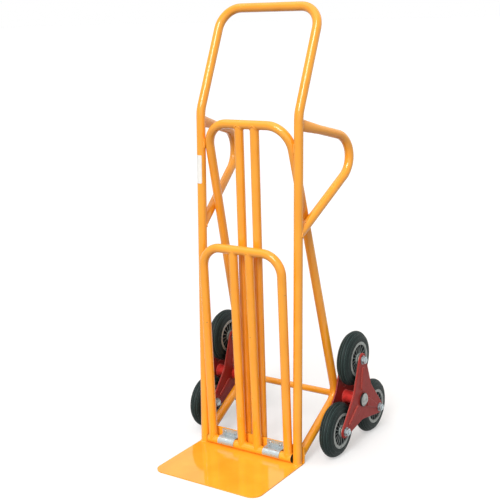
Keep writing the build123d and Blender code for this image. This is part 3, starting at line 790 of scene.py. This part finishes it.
class TRUCK_OT_dress_wheels(bpy.types.Operator):
    """Give the wheels their rubber and plastic, and the tyres their raised mould rings"""

    bl_idname = "truck.dress_wheels"
    bl_label = "Dress wheels"

    RING_SHARES = (0.78, 0.9)
    RING_STEPS = 96
    STAND_OFF = 10 * MM

    def execute(self, context):
        colours = context.scene.truck_colours
        height = context.scene.truck_sizes.mould_ring
        rubber = solid_rubber(colours)
        plastic = hub_plastic(colours)
        for side in SIDES:
            for arm in ARMS:
                wheel = f"{side}_{arm}"
                dress([f"{wheel}_tyre"], rubber)
                dress([f"{wheel}_wheel_hub"], plastic)
                self.add_rings(wheel, height, rubber)
        return {"FINISHED"}

    def add_rings(self, wheel, height, rubber):
        """Add the raised rings to both sides of one tyre."""
        low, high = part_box(f"{wheel}_tyre")
        centre = JOINT_PLACES[f"{wheel}_wheel_spin"]
        radius = (high[2] - low[2]) / 2
        tyre = surface_of(f"{wheel}_tyre")
        bm = bmesh.new()
        for share in self.RING_SHARES:
            for start, way in ((low[0] - self.STAND_OFF, 1), (high[0] + self.STAND_OFF, -1)):
                source = Vector((start, centre.y, centre.z + share * radius))
                place = tyre.ray_cast(source, Vector((way, 0, 0)))[0]
                if place is None:
                    raise RuntimeError(f"no side on {wheel}_tyre")
                circle = circle_points((place.x, centre.y, centre.z), share * radius, self.RING_STEPS)
                add_bead(bm, circle, height, BEAD_STEPS_PER_RIPPLE * height, ripple=0)
        new_piece(f"{wheel}_tyre_rings", bm, rubber, f"{wheel}_wheel")


class TRUCK_OT_weld_frame(bpy.types.Operator):
    """Weld the fixed frame: feet, brace, back bars, grips and axle"""

    bl_idname = "truck.weld_frame"
    bl_label = "Weld frame"

    # Heights that tell the ends of a tube apart
    PLATE_SEAM_TOP = 10 * MM
    UPSTAND_SEAM_TOP = 100 * MM
    BACK_BAR_MIDDLE = 500 * MM
    GRIP_MIDDLE = 750 * MM
    BRACE_CORNER_BOTTOM = 780 * MM
    # How far in from its middle a knee's inner side begins, and a foot's plug side in tube radii
    KNEE_INSIDE = 5 * MM
    PLUG_SIDE_SHARE = 0.7
    # The way that the lower leg of a grip runs
    GRIP_LEG_WAY = (0, 0.8, 0.6)
    # How far a seat bead lies from the line of contact, and its radius in common beads
    SEAT_GROOVE = 5.5 * MM
    SEAT_SHARE = 1.3

    def execute(self, context):
        sizes = context.scene.truck_sizes
        coated = bpy.data.materials["powder_coat_tube"]
        groups = {
            "brace_foot_welds": self.brace_foot_seams(),
            "back_bar_welds": self.back_bar_seams(),
            "side_grip_welds": self.grip_seams(),
            "axle_welds": self.axle_seams(),
        }
        for name, seams in groups.items():
            bm = bmesh.new()
            for points in seams:
                add_bead(bm, points, sizes.bead, sizes.bead_pitch)
            new_piece(name, bm, coated, "frame")
        feet = bmesh.new()
        seats = bmesh.new()
        for way in SIDES.values():
            self.add_foot_weld(feet, way, sizes)
            self.add_seat_welds(seats, way, sizes)
        new_piece("upright_foot_welds", feet, coated, "frame")
        new_piece("brace_seat_welds", seats, coated, "frame")
        return {"FINISHED"}

    def add_foot_weld(self, bm, way, sizes):
        """Add the bead where an upright stands on the toe plate, except beside the hinge tube's plug."""
        top = self.PLATE_SEAM_TOP
        ring = seam("main_frame_tube", "toe_plate", (0, 0, 1), lambda p: p.x * way > 0 and p.z < top)
        plug_side = UPRIGHT_X - self.PLUG_SIDE_SHARE * TUBE_RADIUS
        clear = [p.x * way > plug_side for p in ring]
        add_part_bead(bm, ring, clear, sizes.bead, sizes.bead_pitch)

    def brace_foot_seams(self):
        """Where the brace's lower runs end on the upstand."""
        top = self.UPSTAND_SEAM_TOP
        return [
            seam("rear_brace_tube", "toe_plate", (0, 1, 0), lambda p, w=way: p.x * w > 0 and p.z < top)
            for way in SIDES.values()
        ]

    def back_bar_seams(self):
        """Where the back bars end under the brace's top bar."""
        return [
            seam(f"{side}_back_bar", "rear_brace_tube", (0, 0, 1), lambda p: p.z > self.BACK_BAR_MIDDLE)
            for side in SIDES
        ]

    def grip_seams(self):
        """Where the side grips end on the uprights, above and below."""
        seams = []
        for side in SIDES:
            grip = f"{side}_side_grip"
            seams.append(seam(grip, "main_frame_tube", (0, 1, 0), lambda p: p.z > self.GRIP_MIDDLE))
            seams.append(seam(grip, "main_frame_tube", self.GRIP_LEG_WAY, lambda p: p.z < self.GRIP_MIDDLE))
        return seams

    def axle_seams(self):
        """Where the axle comes out of the brace's knees, on their inner sides."""
        axle = JOINT_PLACES["right_star_turn"]
        inside = UPRIGHT_X - self.KNEE_INSIDE
        return [
            seam(
                "rear_brace_tube",
                "main_axle",
                (1, 0, 0),
                lambda p, w=way: 0 < p.x * w < inside,
                heart=(way * UPRIGHT_X, axle.y, axle.z),
            )
            for way in SIDES.values()
        ]

    def add_seat_welds(self, bm, way, sizes):
        """Add the two short beads where the brace's corner touches an upright."""
        upright = surface_of("main_frame_tube")
        nearest = None
        for v in frame["nodes"]["rear_brace_tube"].data.vertices:
            if v.co.x * way > 0 and v.co.z > self.BRACE_CORNER_BOTTOM:
                place, _, _, gap = upright.find_nearest(v.co)
                if nearest is None or gap < nearest[0]:
                    nearest = (gap, (v.co + place) / 2)
        touch = nearest[1]
        radius = self.SEAT_SHARE * sizes.bead
        for front in (-1, 1):
            # A bead fills the groove that two round tubes leave beside their line of contact.
            groove = touch + Vector((0, front * self.SEAT_GROOVE, 0))
            line = [groove + UPRIGHT_WAY * sizes.seat_run * share for share in (-0.5, -0.25, 0, 0.25, 0.5)]
            add_bead(bm, line, radius, sizes.bead_pitch, closed=False, outward=(0, front, 0))


class TRUCK_OT_weld_folding_frame(bpy.types.Operator):
    """Weld the folding toe frame: its loop and bars on the hinge tube, and the bars under the loop"""

    bl_idname = "truck.weld_folding_frame"
    bl_label = "Weld folding frame"

    # A height between the two ends of a folding bar
    BAR_MIDDLE = 100 * MM

    def execute(self, context):
        sizes = context.scene.truck_sizes
        coated = bpy.data.materials["powder_coat_tube"]
        upright = (0, 0, 1)
        hinge = JOINT_PLACES["folding_frame_fold"]
        proud = (1 + BEAD_RIPPLE) * sizes.small_bead
        low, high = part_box("left_folding_bar")
        # Beads stay inside the hinge tube's round in front and the bars' round behind, so that the frame
        # lies flat on the plate one way and against the back bars the other way.
        front = hinge.y - (TUBE_RADIUS - proud)
        behind = (high[0] - low[0]) / 2 - proud
        bm = bmesh.new()
        for way in SIDES.values():
            ring = seam("folding_loop", "hinge_tube", upright, lambda p, w=way: p.x * w > 0)
            add_part_bead(bm, ring, [p.y > front for p in ring], sizes.small_bead, sizes.bead_pitch)
        for side in SIDES:
            bar = f"{side}_folding_bar"
            ring = seam(bar, "hinge_tube", upright, lambda p: p.z < self.BAR_MIDDLE)
            add_part_bead(bm, ring, [p.y > front for p in ring], sizes.small_bead, sizes.bead_pitch)
            ring = seam(bar, "folding_loop", upright, lambda p: p.z > self.BAR_MIDDLE)
            back = sum(p.y for p in ring) / len(ring) + behind
            add_part_bead(bm, ring, [p.y < back for p in ring], sizes.small_bead, sizes.bead_pitch)
        new_piece("folding_frame_welds", bm, coated, "folding_frame")
        return {"FINISHED"}


class TRUCK_OT_weld_stars(bpy.types.Operator):
    """Weld each star's hub tube to its two plates"""

    bl_idname = "truck.weld_stars"
    bl_label = "Weld stars"

    def execute(self, context):
        sizes = context.scene.truck_sizes
        enamel = bpy.data.materials["enamel_tube"]
        for side, way in SIDES.items():
            axle = JOINT_PLACES[f"{side}_star_turn"]
            low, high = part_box(f"{side}_star_hub_tube")
            radius = (high[2] - low[2]) / 2
            bm = bmesh.new()
            for layer, inward in (("inner", way), ("outer", -way)):
                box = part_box(f"{side}_{layer}_star_plate")
                face = box[1][0] if inward > 0 else box[0][0]
                circle = circle_points((face, axle.y, axle.z), radius)
                add_bead(bm, circle, sizes.small_bead, sizes.bead_pitch)
            new_piece(f"{side}_star_welds", bm, enamel, f"{side}_star")
        return {"FINISHED"}


class TRUCK_OT_cut_threads(bpy.types.Operator):
    """Cut the thread on the wheel bolts' ends, outside their nuts"""

    bl_idname = "truck.cut_threads"
    bl_label = "Cut threads"

    BOLT_RADIUS = 6 * MM
    BOLT_CHAMFER = 1 * MM
    STEPS_PER_TURN = 48
    HELIX_SPACING = 0.8 * MM

    def execute(self, context):
        sizes = context.scene.truck_sizes
        zinc = bpy.data.materials["zinc_plated_bolt"]
        for side, way in SIDES.items():
            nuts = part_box(f"{side}_wheel_nuts")
            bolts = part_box(f"{side}_wheel_bolts")
            start = way * max(way * nuts[0][0], way * nuts[1][0])
            end = way * max(way * bolts[0][0], way * bolts[1][0])
            bm = bmesh.new()
            for arm in ARMS:
                self.add_thread(bm, JOINT_PLACES[f"{side}_{arm}_wheel_spin"], start, end, sizes)
            new_piece(f"{side}_bolt_threads", bm, zinc, f"{side}_star")
        return {"FINISHED"}

    def add_thread(self, bm, centre, start, end, sizes):
        """Add one bolt's helix, from its nut to its chamfer."""
        run = abs(end - start) - self.BOLT_CHAMFER
        turns = run / sizes.thread_pitch
        steps = max(FEWEST_POINTS, round(turns * self.STEPS_PER_TURN))
        reach = (end - start) / abs(end - start) * run
        helix = []
        for step in range(steps + 1):
            turn = 2 * pi * turns * step / steps
            spoke = Vector((0, cos(turn), sin(turn))) * self.BOLT_RADIUS
            helix.append(Vector((start + reach * step / steps, centre.y, centre.z)) + spoke)
        radius = sizes.thread_depth / 2
        pitch = BEAD_STEPS_PER_RIPPLE * self.HELIX_SPACING
        add_bead(bm, helix, radius, pitch, ripple=0, closed=False, outward=(1, 0, 0))


class TRUCK_OT_stick_label(bpy.types.Operator):
    """Stick the blank label round the left upright"""

    bl_idname = "truck.stick_label"
    bl_label = "Stick label"

    FACING = radians(-120)
    ROWS = 40
    COLUMNS = 24
    TUCK = 0.05 * MM
    WEAR = 0.92
    FLOW_MM = 14

    def execute(self, context):
        sizes = context.scene.truck_sizes
        across = Vector((1, 0, 0))
        behind = UPRIGHT_WAY.cross(across)
        foot = Vector((-UPRIGHT_X, 0, 0))
        middle = foot + UPRIGHT_WAY * (sizes.label_middle / cos(UPRIGHT_LEAN))
        bm = bmesh.new()
        sheets = []
        for radius in (TUBE_RADIUS - self.TUCK, TUBE_RADIUS + sizes.label_film):
            sheet = []
            for row in range(self.ROWS + 1):
                # Rows crowd towards both ends, where the corners round.
                up = -cos(pi * row / self.ROWS) * sizes.label_height / 2
                short = max(0, abs(up) - sizes.label_height / 2 + sizes.label_corner)
                half = sizes.label_width / 2 - sizes.label_corner
                half += sqrt(max(0, sizes.label_corner ** 2 - short ** 2))
                line = []
                for column in range(self.COLUMNS + 1):
                    turn = self.FACING + half / TUBE_RADIUS * (2 * column / self.COLUMNS - 1)
                    out = cos(turn) * across + sin(turn) * behind
                    line.append(bm.verts.new(middle + up * UPRIGHT_WAY + radius * out))
                sheet.append(line)
            sheets.append(sheet)
        inner, outer = sheets
        for sheet in sheets:
            for line, following in zip(sheet, sheet[1:]):
                for n in range(self.COLUMNS):
                    bm.faces.new((line[n], line[n + 1], following[n + 1], following[n]))
        edge_in = self.rim(inner)
        edge_out = self.rim(outer)
        for n, vert in enumerate(edge_in):
            bm.faces.new((edge_in[n - 1], vert, edge_out[n], edge_out[n - 1]))
        white = context.scene.truck_colours.label
        rubbed = [self.WEAR * channel for channel in white]
        vinyl = flowed_film("vinyl_film", white, rubbed, self.FLOW_MM, roughness=0.3)
        new_piece("blank_label", bm, vinyl, "frame")
        return {"FINISHED"}

    def rim(self, sheet):
        """Vertices round a sheet's edge, in order."""
        right = [line[-1] for line in sheet[1:-1]]
        left = [line[0] for line in sheet[1:-1]]
        return sheet[0] + right + sheet[-1][::-1] + left[::-1]


class TRUCK_OT_build_studio(bpy.types.Operator):
    """Build the floor, the lamps, the white surroundings and the camera"""

    bl_idname = "truck.build_studio"
    bl_label = "Build studio"

    AIM = Vector((0.0006, 0.0293, 0.5635))
    CAMERA_PLACE = Vector((1.43393, -2.09891, 1.1849))
    CAMERA_ROLL = radians(-1.82)
    CAMERA_LENS = 72.47
    FLOOR_HALF = 60
    FLOOR_PALE = 0.55
    FLOOR_LIFT = 0.42
    AMBIENT_COLOUR = (1, 0.9, 0.82)
    KEY_WAY = Vector((0.133, -0.754, 0.643))
    LOW_WAY = Vector((0.495, -0.857, 0.14))
    TOP_WAY = Vector((-0.15, -0.2, 0.97))
    BACK_WAY = Vector((0.4, 0.82, 0.41))

    def execute(self, context):
        studio = context.scene.truck_studio
        context.scene.view_settings.view_transform = "Standard"
        self.add_floor(context, studio)
        self.light_world(context, studio)
        self.add_lamp(context, "front_key", self.KEY_WAY, studio.key, studio.key_spread)
        self.add_lamp(context, "low_fill", self.LOW_WAY, studio.low, studio.low_spread)
        self.add_lamp(context, "top_fill", self.TOP_WAY, studio.top, studio.top_spread)
        self.add_lamp(context, "back_fill", self.BACK_WAY, studio.back, studio.back_spread)
        self.add_camera(context)
        return {"FINISHED"}

    def white_rays(self, tree):
        """1 for the rays that should meet plain white: the camera's, and those that metal sends on."""
        rays = add_node(tree, "ShaderNodeLightPath").outputs
        seen = add_node(
            tree,
            "ShaderNodeMath",
            {"operation": "MAXIMUM"},
            {0: rays["Is Camera Ray"], 1: rays["Is Glossy Ray"]},
        ).outputs["Value"]
        return add_node(
            tree,
            "ShaderNodeMath",
            {"operation": "MAXIMUM"},
            {0: seen, 1: rays["Is Transmission Ray"]},
        ).outputs["Value"]

    def add_floor(self, context, studio):
        """A pale floor that looks white where it is lit and keeps the shadow."""
        bm = bmesh.new()
        bmesh.ops.create_grid(bm, x_segments=1, y_segments=1, size=self.FLOOR_HALF)
        mesh = bpy.data.meshes.new("studio_floor")
        bm.to_mesh(mesh)
        bm.free()
        floor = bpy.data.objects.new("studio_floor", mesh)
        context.scene.collection.objects.link(floor)
        material, tree = new_finish("painted_floor")
        dim = add_node(tree, "ShaderNodeBsdfDiffuse", {"Color": rgba([studio.floor_grey] * 3)})
        pale = add_node(tree, "ShaderNodeBsdfDiffuse", {"Color": rgba([self.FLOOR_PALE] * 3)})
        lift = add_node(tree, "ShaderNodeEmission", {"Color": rgba([1] * 3), "Strength": self.FLOOR_LIFT})
        white = add_node(tree, "ShaderNodeAddShader", links={0: pale.outputs[0], 1: lift.outputs[0]})
        mix = add_node(
            tree,
            "ShaderNodeMixShader",
            links={0: self.white_rays(tree), 1: dim.outputs[0], 2: white.outputs[0]},
        )
        add_node(tree, "ShaderNodeOutputMaterial", links={"Surface": mix.outputs[0]})
        mesh.materials.append(material)

    def light_world(self, context, studio):
        """Even light from all round, plain white where it is seen."""
        world = bpy.data.worlds.new("studio_white")
        context.scene.world = world
        world.use_nodes = True
        tree = world.node_tree
        tree.nodes.clear()
        warm = rgba(self.AMBIENT_COLOUR)
        lit = add_node(tree, "ShaderNodeBackground", {"Color": warm, "Strength": studio.ambient})
        seen = add_node(tree, "ShaderNodeBackground", {"Color": rgba([1] * 3), "Strength": 1})
        mix = add_node(
            tree,
            "ShaderNodeMixShader",
            links={0: self.white_rays(tree), 1: lit.outputs[0], 2: seen.outputs[0]},
        )
        add_node(tree, "ShaderNodeOutputWorld", links={"Surface": mix.outputs[0]})

    def add_lamp(self, context, name, way, strength, spread):
        """A far, soft lamp that shines from one way, the same over the whole floor."""
        data = bpy.data.lights.new(name, "SUN")
        data.energy = strength
        data.angle = spread
        lamp = bpy.data.objects.new(name, data)
        lamp.rotation_euler = (-way).to_track_quat("-Z", "Y").to_euler()
        context.scene.collection.objects.link(lamp)

    def add_camera(self, context):
        """The camera at the photograph's place, angle and lens."""
        data = bpy.data.cameras.new("photo_camera")
        data.lens = self.CAMERA_LENS
        data.sensor_width = 36
        data.clip_end = 100
        camera = bpy.data.objects.new("photo_camera", data)
        turn = (self.AIM - self.CAMERA_PLACE).to_track_quat("-Z", "Y").to_matrix().to_4x4()
        roll = Matrix.Rotation(self.CAMERA_ROLL, 4, "Z")
        camera.matrix_world = Matrix.Translation(self.CAMERA_PLACE) @ turn @ roll
        context.scene.collection.objects.link(camera)
        context.scene.camera = camera


MAKING = (
    TRUCK_OT_coat_frame,
    TRUCK_OT_paint_stars,
    TRUCK_OT_plate_hardware,
    TRUCK_OT_mould_plastics,
    TRUCK_OT_dress_wheels,
    TRUCK_OT_weld_frame,
    TRUCK_OT_weld_folding_frame,
    TRUCK_OT_weld_stars,
    TRUCK_OT_cut_threads,
    TRUCK_OT_stick_label,
    TRUCK_OT_build_studio,
)
SETTINGS = {
    "truck_colours": TruckColours,
    "truck_sizes": TruckSizes,
    "truck_studio": TruckStudio,
}


class TRUCK_PT_making(bpy.types.Panel):
    """Lists the truck's settings and the steps of its making"""

    bl_idname = "TRUCK_PT_making"
    bl_label = "Hand Truck"
    bl_space_type = "VIEW_3D"
    bl_region_type = "UI"
    bl_category = "Hand Truck"

    def draw(self, context):
        for setting, group in SETTINGS.items():
            box = self.layout.box()
            for name in group.__annotations__:
                box.prop(getattr(context.scene, setting), name)
        for step in MAKING:
            self.layout.operator(step.bl_idname)


CLASSES = (*SETTINGS.values(), *MAKING, TRUCK_PT_making)


def register():
    for cls in CLASSES:
        bpy.utils.register_class(cls)
    for setting, group in SETTINGS.items():
        setattr(bpy.types.Scene, setting, PointerProperty(type=group))


def unregister():
    for setting in SETTINGS:
        delattr(bpy.types.Scene, setting)
    for cls in reversed(CLASSES):
        bpy.utils.unregister_class(cls)


def main():
    """Make the truck, step by step."""
    register()
    for step in MAKING:
        group, name = step.bl_idname.split(".")
        getattr(getattr(bpy.ops, group), name)()


if __name__ == "__main__":
    main()
